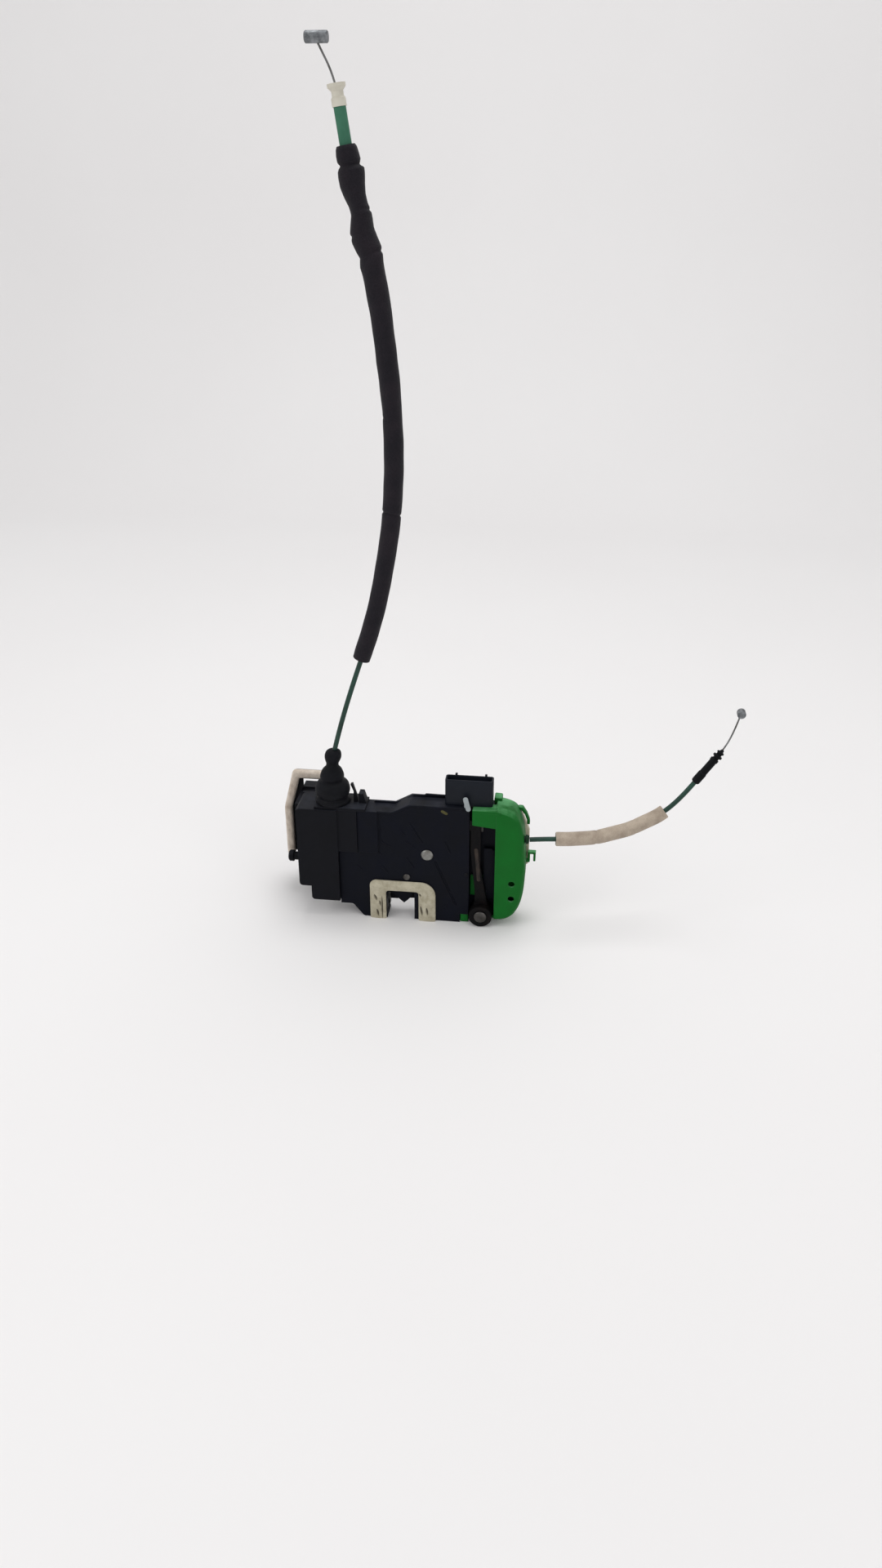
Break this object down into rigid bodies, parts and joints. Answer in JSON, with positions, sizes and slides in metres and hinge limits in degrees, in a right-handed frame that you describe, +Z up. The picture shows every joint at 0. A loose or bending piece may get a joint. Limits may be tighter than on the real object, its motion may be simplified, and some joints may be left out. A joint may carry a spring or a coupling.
{
  "type": "car door lock",
  "caption": "Car door lock: moulded latch case with a striker slot, fork and pawl, release levers, electric lock drive, connector and two foam-sleeved pull cables.",
  "frame": {"origin": "middle of the striker slot's mouth, on the seal face, at the lock's lower edge", "axes": "+X along the lock towards the short cable, +Y from the seal face to the bolting face, +Z up along the long cable"},
  "size_m": [0.3333, 0.0657, 0.5648],
  "materials": {
    "case": "moulded black",
    "steel_zinc": "zinc plated",
    "box": "moulded black",
    "steel_dark": "oiled",
    "spring_steel": "bright",
    "lever": "greasy dark brown",
    "green": "moulded green",
    "dark_green": "moulded dark green",
    "foam": "cream foam",
    "rubber": "black",
    "brass": "turned",
    "nylon": "natural",
    "socket": "moulded black",
    "tin": "tinned",
    "conduit": "dark green",
    "black_foam": "black foam",
    "foam_sleeve": "beige foam",
    "sage": "grey green",
    "ferrule": "moulded black",
    "wire": "stranded",
    "zinc_cast": "cast zinc"
  },
  "bodies": {
    "case": {"latch_case": "case", "frame_plate": "steel_zinc", "case_cover": "case", "cable_box": "box", "box_cover": "box", "side_housing": "box", "side_cover": "box", "fork_rivet": "steel_zinc", "pawl_rivet": "steel_zinc", "spring_post": "steel_zinc", "fork_spring": "spring_steel", "pawl_spring": "spring_steel", "outside_lever_pin": "lever", "inside_lever_pin": "steel_dark", "end_cover": "green", "short_cable_gland": "dark_green", "end_pad": "foam", "side_seal": "foam", "slot_seal": "foam", "striker_buffer": "rubber", "lock_motor": "steel_zinc", "wheel_axle": "steel_zinc", "key_stud": "steel_zinc", "connector_socket": "socket", "connector_pins": "tin", "connector_clip": "nylon", "cable_boot": "rubber", "boot_bracket": "box", "long_conduit": "conduit", "short_conduit": "conduit", "long_sleeve": "black_foam", "short_sleeve": "foam_sleeve", "long_fitting": "sage", "long_collar": "nylon", "short_ferrule": "ferrule"},
    "fork": {"fork_bolt": "steel_dark"},
    "pawl_lever": {"pawl": "steel_dark"},
    "link": {"release_link": "steel_dark"},
    "outside_release": {"outside_lever": "lever"},
    "short_inner": {"short_wire": "wire", "short_nipple": "zinc_cast"},
    "inside_release": {"inside_lever": "steel_dark"},
    "long_inner": {"long_wire": "wire", "long_nipple": "zinc_cast"},
    "lock_wheel": {"worm_wheel": "nylon", "lock_lever": "nylon"},
    "worm": {"motor_worm": "brass"}
  },
  "joints": [
    {"name": "fork_turn", "type": "hinge", "parent": "case", "child": "fork", "pos_m": [-0.0159, 0.01, 0.03], "axis": [0, -1, 0], "range_deg": [0, 42], "stiffness_Nm_per_rad": 0.05},
    {"name": "outside_lever_turn", "type": "hinge", "parent": "case", "child": "outside_release", "pos_m": [0.0596, 0.001, 0.0088], "axis": [0, 1, 0], "range_deg": [0, 7], "stiffness_Nm_per_rad": 2},
    {"name": "pawl_lift", "type": "hinge", "parent": "case", "child": "pawl_lever", "pos_m": [0.0199, 0.01, 0.0564], "axis": [0, 1, 0], "range_deg": [0, 20]},
    {"name": "release_link_slide", "type": "slide", "parent": "case", "child": "link", "axis": [1, 0, 0], "range_m": [0, 0.0086]},
    {"name": "short_wire_pull", "type": "slide", "parent": "case", "child": "short_inner", "axis": [0.5777, 0.1376, 0.8046], "range_m": [0, 0.0078]},
    {"name": "inside_lever_turn", "type": "hinge", "parent": "case", "child": "inside_release", "pos_m": [-0.066, 0.01, 0.072], "axis": [0, -1, 0], "range_deg": [0, 36], "stiffness_Nm_per_rad": 0.1},
    {"name": "long_wire_pull", "type": "slide", "parent": "case", "child": "long_inner", "axis": [-0.1461, 0, 0.9893], "range_m": [0, 0.0118]},
    {"name": "lock_turn", "type": "hinge", "parent": "case", "child": "lock_wheel", "pos_m": [-0.07, 0.033, 0.0585], "axis": [1, 0, 0], "range_deg": [-30, 30]},
    {"name": "worm_spin", "type": "hinge", "parent": "case", "child": "worm", "pos_m": [-0.07, 0.044, 0.058], "axis": [0, 0, 1], "range_deg": [-300, 300]}
  ],
  "couplings": [
    {"joint": "pawl_lift", "follows": "outside_lever_turn", "ratio": 2.857},
    {"joint": "release_link_slide", "follows": "outside_lever_turn", "m_per_rad": 0.0696},
    {"joint": "short_wire_pull", "follows": "outside_lever_turn", "m_per_rad": 0.0636},
    {"joint": "long_wire_pull", "follows": "inside_lever_turn", "m_per_rad": 0.0186},
    {"joint": "worm_spin", "follows": "lock_turn", "ratio": 10}
  ]
}
